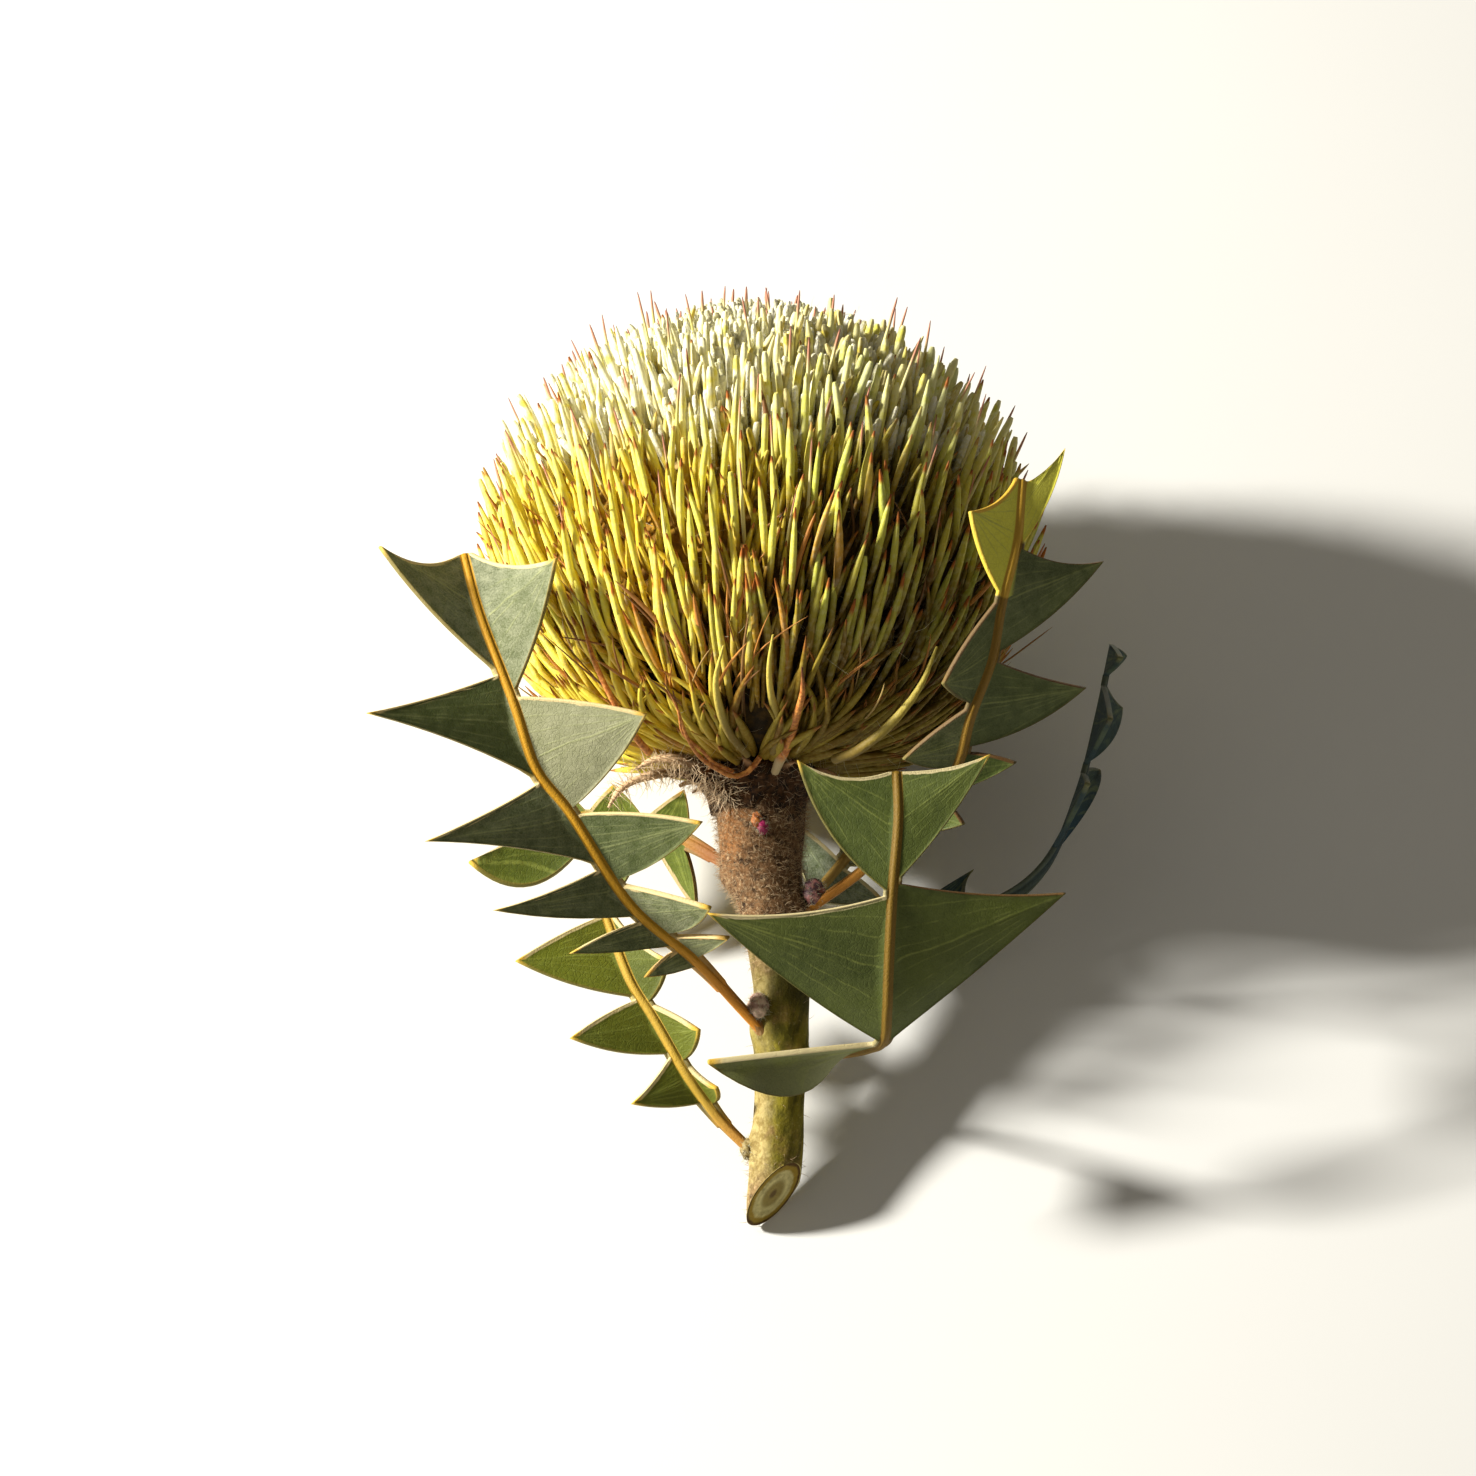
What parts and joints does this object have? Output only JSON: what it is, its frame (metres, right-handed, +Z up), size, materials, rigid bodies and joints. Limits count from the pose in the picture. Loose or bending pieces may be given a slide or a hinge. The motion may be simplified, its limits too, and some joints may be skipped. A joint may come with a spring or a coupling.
{
  "type": "cut banksia flower",
  "caption": "Cut birds nest banksia lying on its back: domed head of upright yellow florets with a pale crown, brown bracts, thick stem and stiff saw-toothed leaves",
  "frame": {"origin": "middle of the footprint of the bounding box, on the surface that the flower lies on", "axes": "+Z up, +Y along the stem's course toward the flower head, +X to the right as seen from the front of the picture"},
  "size_m": [0.1214, 0.144, 0.0905],
  "materials": {
    "stem": "rough bark, felted near the head",
    "bracts": "dry brown, hairy",
    "florets": "satin, fine haired",
    "crown": "woolly",
    "leaf": "leathery, matt"
  },
  "bodies": {
    "root": {"stem": "stem", "bracts": "bracts", "flower_head": "florets", "flower_crown": "crown", "leaf_left_large": "leaf", "leaf_left_small": "leaf", "leaf_left_behind": "leaf", "leaf_right_upper": "leaf", "leaf_right_front": "leaf", "leaf_right_far": "leaf", "leaf_right_behind": "leaf"}
  },
  "joints": []
}
